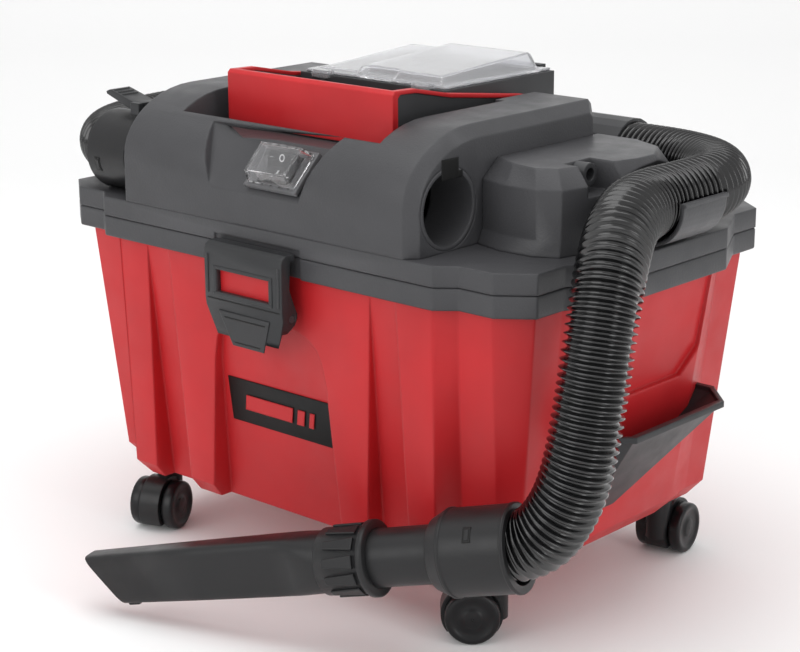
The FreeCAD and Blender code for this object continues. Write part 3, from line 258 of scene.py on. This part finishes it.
def dress_cad_nodes(kit):
    """Gives each CAD node the material of its slot, or its finer finish."""
    for entry in frame["record"]["subparts"]:
        node = frame["nodes"][entry["node"]]
        node.data.materials.clear()
        node.data.materials.append(kit[FINISHES.get(entry["node"], entry["material_slot"])])


# ---------------------------------------------------------------- mesh helpers

def add_piece(name, bm, body, material, smooth=False, keep_winding=False):
    """Turns a bmesh into a piece that rides on a body."""
    mesh = bpy.data.meshes.new(name)
    if not keep_winding:
        bmesh.ops.recalc_face_normals(bm, faces=bm.faces)
    bm.normal_update()
    bm.to_mesh(mesh)
    bm.free()
    for polygon in mesh.polygons:
        polygon.use_smooth = smooth
    mesh.materials.append(material)
    piece = bpy.data.objects.new(name, mesh)
    bpy.context.scene.collection.objects.link(piece)
    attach(piece, body)
    return piece


def soften(piece, width, segments=3, angle=25.0):
    """Rounds a piece's sharp edges."""
    bevel = piece.modifiers.new("rounded_edges", "BEVEL")
    bevel.width = width
    bevel.segments = segments
    bevel.limit_method = "ANGLE"
    bevel.angle_limit = math.radians(angle)
    bevel.harden_normals = True
    bevel.use_clamp_overlap = True
    for polygon in piece.data.polygons:
        polygon.use_smooth = True


def rounded_copy(node, material, width, segments=3, angle=25.0, flat=3.0):
    """A copy of a CAD node with real rounded edges, standing in for the sharp one."""
    source = frame["nodes"][node]
    bm = bmesh.new()
    bm.from_mesh(source.data)
    bmesh.ops.remove_doubles(bm, verts=bm.verts, dist=0.00002)
    bmesh.ops.dissolve_limit(bm, angle_limit=math.radians(flat), verts=bm.verts, edges=bm.edges)
    bmesh.ops.recalc_face_normals(bm, faces=bm.faces)
    body = source["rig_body"]
    piece = add_piece(f"{node}_rounded", bm, body, material, smooth=True)
    soften(piece, width, segments, angle)
    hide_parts(node)
    return piece


def slot_of(node):
    """The material slot that the record gives a CAD node."""
    for entry in frame["record"]["subparts"]:
        if entry["node"] == node:
            return entry["material_slot"]
    raise KeyError(node)


def plate(bm, corners, thickness, out):
    """A flat plate with the given corner points, raised along the direction out."""
    low = [bm.verts.new(p) for p in corners]
    high = [bm.verts.new(p + out * thickness) for p in corners]
    bm.faces.new(low[::-1])
    bm.faces.new(high)
    count = len(corners)
    for i in range(count):
        j = (i + 1) % count
        bm.faces.new((low[i], low[j], high[j], high[i]))


def join_rings(bm, rings):
    """Faces between each ring of vertices and the next."""
    for first, second in zip(rings, rings[1:]):
        for i in range(len(first)):
            j = (i + 1) % len(first)
            bm.faces.new((first[i], first[j], second[j], second[i]))


def revolve(bm, profile, origin, axis, steps=48):
    """A surface of revolution; profile is (along the axis, radius) pairs in metres."""
    turn = axis.normalized().to_track_quat("Z", "Y").to_matrix()
    rings = []
    for along, radius in profile:
        ring = []
        for step in range(steps):
            angle = 2 * math.pi * step / steps
            local = Vector((radius * math.cos(angle), radius * math.sin(angle), along))
            ring.append(bm.verts.new(origin + turn @ local))
        rings.append(ring)
    join_rings(bm, rings)


# ---------------------------------------------------------------- hose

# The route that part.py gives the CAD hose, in the machine's own millimetres.
HOSE_ROUTE = [
    (-128, -99, 253.5), (-156, -99, 253.5), (-180, -88, 254), (-193, -66, 255),
    (-196, -36, 256), (-196, 8, 256.5), (-184, 48, 256), (-152, 76, 256), (-106, 87, 256),
    (-48, 85.5, 255.5), (10, 87, 255.5), (62, 86, 255.5), (116, 86, 256), (157, 80, 257),
    (190, 62, 257.5), (205, 34, 257), (203, 2, 256), (201, -30, 256), (210, -60, 253),
    (222, -86, 238), (228, -102, 208), (228, -110, 168), (226, -117, 130), (217, -120, 104),
    (201.2, -124.25, 84.4), (179, -131.5, 79),
]
TOOL_AXIS = Vector((-0.926, -0.302, -0.226)).normalized()


def hose_line():
    """Closely spaced points along the smooth curve of the hose's route."""
    curve = bpy.data.curves.new("hose_route", "CURVE")
    curve.dimensions = "3D"
    curve.resolution_u = 24
    spline = curve.splines.new("NURBS")
    spline.points.add(len(HOSE_ROUTE) - 1)
    for point, (x, y, z) in zip(spline.points, HOSE_ROUTE):
        point.co = (*at(x, y, z), 1.0)
    spline.order_u = 3
    spline.use_endpoint_u = True
    holder = bpy.data.objects.new("hose_route", curve)
    line = bpy.data.meshes.new_from_object(holder)
    points = [v.co.copy() for v in line.vertices]
    bpy.data.objects.remove(holder)
    bpy.data.curves.remove(curve)
    bpy.data.meshes.remove(line)
    return points


def evenly(points, spacing):
    """Points an equal distance apart along a line, with its ends kept."""
    lengths = [0.0]
    for a, b in zip(points, points[1:]):
        lengths.append(lengths[-1] + (b - a).length)
    count = int(round(lengths[-1] / spacing))
    result = []
    k = 0
    for i in range(count + 1):
        want = lengths[-1] * i / count
        while k < len(points) - 2 and lengths[k + 1] < want:
            k += 1
        share = (want - lengths[k]) / max(lengths[k + 1] - lengths[k], 1e-9)
        result.append(points[k].lerp(points[k + 1], min(share, 1.0)))
    return result, lengths[-1]


def make_hose(kit):
    """The corrugated tube: narrow rounded ridges over wider valleys, open at both ends."""
    ridge_pitch = 0.0044
    steps_per_ridge = 8
    around = 48
    outer = HOSE_DIAMETER / 2
    valley_depth = 0.0031
    line = hose_line()
    points, length = evenly(line, ridge_pitch / steps_per_ridge)
    bm = bmesh.new()
    side = Vector((0, 0, 1))
    rings = []
    for i, point in enumerate(points):
        ahead = points[min(i + 1, len(points) - 1)] - points[max(i - 1, 0)]
        ahead.normalize()
        side = (side - ahead * side.dot(ahead)).normalized()
        other = ahead.cross(side)
        phase = math.cos(2 * math.pi * i / steps_per_ridge)
        radius = outer - valley_depth * (1 - (0.5 + 0.5 * phase) ** 1.5)
        ring = []
        for k in range(around):
            angle = 2 * math.pi * k / around
            ring.append(bm.verts.new(point + radius * (side * math.cos(angle)
                                                       + other * math.sin(angle))))
        rings.append(ring)
    join_rings(bm, rings)
    piece = add_piece("corrugated_hose", bm, "head_body", kit["hose_black"], True)
    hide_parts("hose")


# ---------------------------------------------------------------- lid

def smooth(share):
    """An S-curve from 0 to 1 as share goes from 0 to 1."""
    share = min(max(share, 0.0), 1.0)
    return share * share * (3 - 2 * share)


def lid_height(x, y):
    """The lid's moulded form: a lower left third, a finger notch and rounded shoulders."""
    rim_z = 305.2
    left_step, notch_depth, shoulder = 3.4, 3.6, 5.0
    edge = min(53.0 - abs(x), y + 25.5, 66.0 - y)
    crown = 310.0 + 5.2 * (y + 22.5) / 85.5
    crown -= left_step * (1 - smooth((x + 19.0) / 3.5))
    notch = smooth((14.0 - abs(x)) / 2.5) * smooth((-17.5 - y) / 2.5)
    crown -= notch_depth * notch
    return rim_z + (crown - rim_z) * smooth(edge / shoulder)


def make_lid(kit):
    """The clear lid, with its snap tabs and hinge barrel."""
    left, right, front, back = -57.0, 57.0, -27.5, 72.0
    tab_z, tab_thickness = 301.2, 5.0
    barrel_start, barrel_length = at(-39.5, 76, 303), 0.079
    barrel_radius, barrel_end_radius = 0.003, 0.0015
    columns, rows = 114, 100
    bm = bmesh.new()
    grid = []
    for r in range(rows + 1):
        y = front + (back - front) * r / rows
        line = []
        for c in range(columns + 1):
            x = left + (right - left) * c / columns
            line.append(bm.verts.new(at(x, y, lid_height(x, y))))
        grid.append(line)
    for low, high in zip(grid, grid[1:]):
        for c in range(columns):
            bm.faces.new((low[c], low[c + 1], high[c + 1], high[c]))
    lid = add_piece("tray_lid_clear", bm, "lid_body", kit["clear_smoke"], True,
                    keep_winding=True)
    wall = lid.modifiers.new("wall", "SOLIDIFY")
    wall.thickness = 0.0015
    wall.offset = -1.0
    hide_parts("tray_lid")
    bm = bmesh.new()
    for middle in (-41.0, 41.0):
        outline = ((-7, -33), (7, -33), (7, -26), (-7, -26))
        corners = [at(middle + x, y, tab_z) for x, y in outline]
        plate(bm, corners, tab_thickness * MM, Vector((0, 0, 1)))
    tabs = add_piece("tray_lid_tabs", bm, "lid_body", kit["clear_smoke"])
    soften(tabs, 0.0012)
    bm = bmesh.new()
    revolve(bm, [(0, barrel_end_radius), (0, barrel_radius), (barrel_length, barrel_radius),
                 (barrel_length, barrel_end_radius)],
            barrel_start, Vector((1, 0, 0)), 24)
    add_piece("tray_lid_barrel", bm, "lid_body", kit["clear_smoke"])


# ---------------------------------------------------------------- latches

def latch_face_y(z):
    """Where the latch's front face lies: upright above its bend and drawn in below it."""
    upright_y, foot_y = 141.0, 136.0
    bend_z, foot_z = 186.0, 151.0
    if z >= bend_z:
        return upright_y
    return foot_y + (upright_y - foot_y) * (z - foot_z) / (bend_z - foot_z)


def make_latch_details(name, side, kit):
    """Window frame, edge ribs and raised grip field on a latch's face, with thin dark strips of
    painted shade standing in for the shade in each groove.
    """
    body = f"{name}_body"
    out = Vector((0, side, 0))

    def field(bm, outline, thickness, lift=0.0):
        corners = [at(x, side * (latch_face_y(z) + lift), z) for x, z in outline]
        plate(bm, corners, thickness * MM, out)

    def strip(x0, x1, z0, z1):
        return [(x0, z0), (x1, z0), (x1, z1), (x0, z1)]

    bm = bmesh.new()
    for outline in (strip(-24.5, 24.5, 204.0, 206.2), strip(-24.5, 24.5, 188.3, 190.5),
                    strip(-24.5, -21.8, 190.5, 204.0), strip(21.8, 24.5, 190.5, 204.0)):
        field(bm, outline, 0.7, -0.1)
    for x in (-29.5, 29.5):
        field(bm, strip(x - 0.9, x + 0.9, 189.0, 212.5), 0.7, -0.1)
    field(bm, [(-21.5, 179.5), (21.5, 179.5), (13.0, 158.5), (-13.0, 158.5)], 0.8, -0.1)
    ribs = add_piece(f"{name}_ribs", bm, body, kit["trim_grey"])
    soften(ribs, 0.0004, 2)
    # Painted shade: thin black strips stand in for the shade inside each groove of the latch.
    bm = bmesh.new()
    field(bm, strip(-30.0, 30.0, 185.6, 186.4), 0.15, 0.0)
    field(bm, [(-17.0, 176.2), (17.0, 176.2), (16.4, 175.4), (-16.4, 175.4)], 0.15, 0.75)
    field(bm, [(-10.6, 161.2), (10.6, 161.2), (10.0, 160.4), (-10.0, 160.4)], 0.15, 0.75)
    add_piece(f"{name}_painted_groove_shade", bm, body, kit["mark_black"])


# ---------------------------------------------------------------- badge and switch

def make_badge_bar(kit):
    """A plain bar in the middle of the badge, with no lettering."""
    low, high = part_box("front_label")
    lean = math.atan2(high.y - low.y - 0.0012, high.z - low.z)
    up = Vector((0, -math.sin(lean), math.cos(lean)))
    out = Vector((0, -math.cos(lean), -math.sin(lean)))
    middle = Vector(((low.x + high.x) / 2, (low.y + high.y) / 2, (low.z + high.z) / 2))
    middle += out * 0.0009
    bm = bmesh.new()
    for x0, x1 in ((-0.030, 0.010), (0.014, 0.020), (0.024, 0.028)):
        corners = []
        for x, z in ((x0, -0.005), (x1, -0.005), (x1 + 0.002, 0.005), (x0 + 0.002, 0.005)):
            corners.append(middle + Vector((x, 0, 0)) + up * z)
        plate(bm, corners, 0.0003, out)
    add_piece("badge_bar", bm, "tank_body", kit["label_red"])


def switch_frame():
    """Origin and directions of the sloping switch floor: across, up the slope, outward."""
    tilt = math.radians(45.0)
    across = Vector((1, 0, 0))
    up = Vector((0, math.cos(tilt), math.sin(tilt)))
    out = Vector((0, -math.sin(tilt), math.cos(tilt)))
    return at(12.5, -117.0, 262.0) + out * 0.0013, across, up, out


def make_switch_marks(kit):
    """The on bar and the off ring moulded on the rocker, and ribs in the bezel."""
    origin, across, up, out = switch_frame()
    bm = bmesh.new()

    def spot(x, y, z):
        return origin + across * x * MM + up * y * MM + out * z * MM

    plate(bm, [spot(x, y, 4.15 + 0.15 * (abs(y) - 2)) for x, y in
               ((-0.6, -6.6), (0.6, -6.6), (0.6, -2.4), (-0.6, -2.4))], 0.0002, out)
    for x, y in ((-8.5, -5), (8.5, -5), (-8.5, 5), (8.5, 5)):
        lift = 4.3 if y < 0 else 5.5
        plate(bm, [spot(x + dx, y + dy, lift) for dx, dy in
                   ((-1.3, -0.3), (1.3, -0.3), (1.3, 0.3), (-1.3, 0.3))], 0.0002, out)
    ring_steps = 20
    ring_middle_y = 4.6
    rings = []
    for radius in (1.3, 2.1):
        ring = []
        for step in range(ring_steps):
            angle = 2 * math.pi * step / ring_steps
            y = ring_middle_y + radius * math.sin(angle)
            ring.append(bm.verts.new(spot(radius * math.cos(angle), y, 3.75 + 0.463 * y)))
        rings.append(ring)
    join_rings(bm, rings)
    add_piece("rocker_marks", bm, "rocker_body", kit["mark_white"])
    bm = bmesh.new()
    for y in (-12.6, 11.4):
        for x in (-14, -7, 0, 7, 14):
            plate(bm, [spot(x + dx, y + dy, 2.9) for dx, dy in
                       ((-0.5, 0), (0.5, 0), (0.5, 1.2), (-0.5, 1.2))], 0.0006, out)
    add_piece("bezel_ribs", bm, "head_body", kit["switch_white"])


# ---------------------------------------------------------------- ports, cuffs and tool

def tool_frame():
    """Start point of the tool cuff and the tool's own upward and sideward directions."""
    cuff_overlap = 0.018
    up = (Vector((0, 0, 1)) - TOOL_AXIS * TOOL_AXIS.z).normalized()
    start = at(*HOSE_ROUTE[-1]) - TOOL_AXIS * cuff_overlap
    return start, up, up.cross(TOOL_AXIS).normalized()


def make_cuff_slots(kit):
    """The small catch windows in both hose cuffs: a dark plate of painted shade in each slot,
    with a pale tongue in it.
    """
    start, up, side = tool_frame()
    if side.y > 0:
        side = -side
    sunk = 0.0006
    tilt = math.radians(40)
    tool_out = up * math.sin(tilt) + side * math.cos(tilt)
    port_out = Vector((0, -math.cos(math.radians(14)), -math.sin(math.radians(14))))
    spots = (("tool_cuff_slot", start + TOOL_AXIS * 0.021, TOOL_AXIS, tool_out, 0.0245),
             ("port_cuff_slot", at(-147, -99, 253.5), Vector((-1, 0, 0)), port_out, 0.025))
    for name, middle, along, out, radius in spots:
        across = along.cross(out).normalized()
        # The dark plate is painted shade, standing in for the shadowed hollow behind each catch
        # window.
        for part, wide, long, proud, colour in (("painted_gap_shade", 2.4, 4.4, 0.0001, "mark_black"),
                                                ("tongue", 1.3, 3.2, 0.0004, "tool_grey")):
            bm = bmesh.new()
            base = middle + out * (radius - sunk)
            corners = []
            for a, c in ((-wide, -long), (wide, -long), (wide, long), (-wide, long)):
                corners.append(base + along * a * MM + across * c * MM)
            plate(bm, corners, sunk + proud, out)
            add_piece(f"{name}_{part}", bm, "head_body", kit[colour])


def make_tool_grips(kit):
    """Raised tapered grips round the crevice tool's collar, and end beads on its cuff."""
    grip_count, grip_foot, grip_thickness = 12, 0.0190, 0.0014
    bead_radius, bead_depth, bead_rise = 24.6, 0.4, 0.5
    foot_half, crest_half = 1.2, 0.7
    start, up, side = tool_frame()
    bm = bmesh.new()
    for number in range(grip_count):
        angle = 2 * math.pi * (number + 0.5) / grip_count
        out = up * math.sin(angle) + side * math.cos(angle)
        across = TOOL_AXIS.cross(out).normalized()
        base = start + out * grip_foot
        shape = [(93.0, -3.9), (93.0, 3.9), (112.0, 2.3), (112.0, -2.3)]
        points = [base + TOOL_AXIS * a * MM + across * c * MM for a, c in shape]
        plate(bm, points, grip_thickness, out)
    grips = add_piece("collar_grips", bm, "head_body", kit["tool_grey"])
    soften(grips, 0.0005, 2)
    bm = bmesh.new()
    low, high = (bead_radius - bead_depth) * MM, (bead_radius + bead_rise) * MM
    for along in (1.5, 38.5):
        revolve(bm, [((along - foot_half) * MM, low), ((along - crest_half) * MM, high),
                     ((along + crest_half) * MM, high), ((along + foot_half) * MM, low)],
                start, TOOL_AXIS)
    add_piece("tool_cuff_beads", bm, "head_body", kit["tool_grey"], True)


def make_crevice_tool(kit):
    """The round collar and the flat nozzle with scooped sides and a slanted open tip."""
    start, up, side = tool_frame()
    bm = bmesh.new()
    collar = [(86, 16.8), (86, 21.2), (86.6, 21.8), (89.4, 21.8), (90, 21.2), (90, 19.7),
              (117.4, 19.2), (118, 18.6), (118, 15.0)]
    revolve(bm, [(along * MM, radius * MM) for along, radius in collar], start, TOOL_AXIS)
    tip = 277.0
    slant = 0.68
    steps = 40
    # distance, half height, half width, how square, how much of the tip's slant
    stations = ((112, 17.4, 17.4, 1.0, 0), (122, 17.4, 16.6, 0.85, 0), (130, 17.4, 15.6, 0.7, 0),
                (136, 17.3, 13.6, 0.55, 0), (141, 17.2, 11.6, 0.45, 0), (150, 17.2, 10.6, 0.4, 0),
                (200, 16.6, 10.0, 0.4, 0), (tip, 15.5, 9.0, 0.4, 1), (tip, 14.0, 7.4, 0.4, 1),
                (tip - 60, 13.0, 7.0, 0.4, 0))
    rings = []
    for distance, high, wide, square, lean in stations:
        ring = []
        for step in range(steps):
            angle = 2 * math.pi * step / steps
            c, s = math.cos(angle), math.sin(angle)
            u = math.copysign(abs(s) ** square, s) * high
            w = math.copysign(abs(c) ** square, c) * wide
            along = distance + lean * slant * (u - 15.5)
            ring.append(bm.verts.new(start + (TOOL_AXIS * along + up * u + side * w) * MM))
        rings.append(ring)
    join_rings(bm, rings)
    nozzle = add_piece("crevice_nozzle", bm, "head_body", kit["tool_grey"], True)
    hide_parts("crevice_tool")
    bm = bmesh.new()
    nub_half, nub_height = 4, 0.0026
    foot = start + (TOOL_AXIS * 252 - up * 14.8) * MM
    square = ((-nub_half, -nub_half), (nub_half, -nub_half), (nub_half, nub_half),
              (-nub_half, nub_half))
    corners = [foot + (TOOL_AXIS * a + side * w) * MM for a, w in square]
    plate(bm, corners, nub_height, -up)
    nub = add_piece("crevice_nub", bm, "head_body", kit["tool_grey"])
    soften(nub, 0.0009)


def make_port_details(kit):
    """The keyed notch beside the blower port, as two dark plates of painted shade standing in for
    its shaded recess.
    """
    face_x, thickness = 121.05, 0.0002
    bm = bmesh.new()
    for y0, y1, z0, z1 in ((-105, -91, 270, 281.5), (-91, -87.5, 270, 274)):
        corners = [at(face_x, y, z) for y, z in ((y0, z0), (y1, z0), (y1, z1), (y0, z1))]
        plate(bm, corners, thickness, Vector((1, 0, 0)))
    # Painted shade: the dark plates stand in for the shade inside the notch.
    add_piece("port_key_painted_shade", bm, "head_body", kit["mark_black"])


# ---------------------------------------------------------------- casters

CASTERS = {
    # name: (stem x, stem y, swivel angle in degrees)
    "front_right": (140, -80, 132.0),
    "front_left": (-140, -80, 200.0),
    "rear_right": (140, 85, 8.0),
    "rear_left": (-140, 85, -30.0),
}


def make_wheels(name, x, y, swivel, kit):
    """Two wheels with rounded treads and dished hubs."""
    axle_height, trail, half_gap = 16, 0.013, 0.0075
    turn = Matrix.Rotation(math.radians(swivel), 3, "Z")
    axle = turn @ Vector((1, 0, 0))
    middle = at(x, y, axle_height) + turn @ Vector((0, trail, 0))
    profile = [(0, 2.6), (0, 14.8), (0.5, 15.6), (1.4, 16), (6.4, 16), (7.4, 15.6), (8, 14.6),
               (8, 12.4), (7.3, 11.8), (7.1, 6.4), (7.9, 5.6), (8.2, 4.4), (8.3, 0.3)]
    bm = bmesh.new()
    for side in (-1, 1):
        points = [(along * MM, radius * MM) for along, radius in profile]
        revolve(bm, points, middle + axle * side * half_gap, axle * side)
    piece = add_piece(f"wheels_{name}_turned", bm, f"wheels_{name}",
                      kit["caster_black"], True)
    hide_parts(f"caster_wheels_{name}")


# ---------------------------------------------------------------- studio

def make_studio():
    """A sheet of pale paper: the floor, which curves up into a wall behind the machine."""
    bm = bmesh.new()
    half_width, wall_y = 4.0, 2.2
    rows = [(-3.0, 0.0), (1.2, 0.0), (1.7, 0.08), (2.05, 0.35), (wall_y, 0.8), (wall_y, 3.5)]
    strips = []
    for y, z in rows:
        strips.append([bm.verts.new((x, y, z)) for x in (-half_width, half_width)])
    for low, high in zip(strips, strips[1:]):
        bm.faces.new((low[0], low[1], high[1], high[0]))
    turn = Matrix.Rotation(math.radians(42), 4, "Z")
    bmesh.ops.transform(bm, matrix=turn, verts=bm.verts)
    mesh = bpy.data.meshes.new("studio_floor")
    bm.to_mesh(mesh)
    bm.free()
    for polygon in mesh.polygons:
        polygon.use_smooth = True
    nodes = Nodes("studio_paper", (0.91, 0.91, 0.91), 0.9)
    nodes.bump(nodes.noise(300.0), 0.03, 0.0001)
    mesh.materials.append(nodes.material)
    floor = bpy.data.objects.new("studio_floor", mesh)
    bpy.context.scene.collection.objects.link(floor)


def add_light(name, place, aim, size, power):
    """A rectangular softbox at a place, turned towards a point."""
    data = bpy.data.lights.new(name, "AREA")
    data.shape = "RECTANGLE"
    data.size, data.size_y = size
    data.energy = power
    light = bpy.data.objects.new(name, data)
    light.location = place
    light.rotation_euler = (Vector(aim) - Vector(place)).to_track_quat("-Z", "Y").to_euler()
    bpy.context.scene.collection.objects.link(light)


def make_lights():
    """A bright even room with three softboxes."""
    world = bpy.data.worlds.new("soft_room")
    world.use_nodes = True
    world.node_tree.nodes["Background"].inputs["Color"].default_value = (1, 1, 1, 1)
    world.node_tree.nodes["Background"].inputs["Strength"].default_value = 0.78
    bpy.context.scene.world = world
    add_light("top_softbox", (0.0, -0.2, 1.9), (0, 0, 0.1), (1.8, 1.8), 17.0)
    add_light("front_softbox", (-0.2, -2.0, 1.0), (0, 0, 0.15), (1.4, 1.2), 11.0)
    add_light("right_softbox", (2.0, -0.2, 0.8), (0, 0, 0.15), (0.5, 1.3), 7.0)
    bpy.context.scene.view_settings.view_transform = "Standard"


# ---------------------------------------------------------------- build

make_camera()
kit = make_materials()
dress_cad_nodes(kit)
make_hose(kit)
for node, width in (("tank", 0.0022), ("head_cover", 0.0022), ("head_base", 0.0018),
                    ("tank_collar", 0.0012), ("exhaust_cover", 0.0028),
                    ("handle_cover", 0.0018), ("front_latch", 0.0012), ("rear_latch", 0.0012),
                    ("storage_tray", 0.0009), ("accessory_pocket", 0.0012)):
    rounded_copy(node, kit[slot_of(node)], width)
for node in ("switch_boot", "switch_bezel", "switch_rocker", "front_label", "release_lever"):
    rounded_copy(node, kit[FINISHES.get(node, slot_of(node))], 0.0008, 2)
make_lid(kit)
make_latch_details("front_latch", -1, kit)
make_latch_details("rear_latch", 1, kit)
make_badge_bar(kit)
make_switch_marks(kit)
make_cuff_slots(kit)
make_tool_grips(kit)
make_crevice_tool(kit)
make_port_details(kit)
for caster_name, (stem_x, stem_y, swivel) in CASTERS.items():
    make_wheels(caster_name, stem_x, stem_y, swivel, kit)
make_studio()
make_lights()
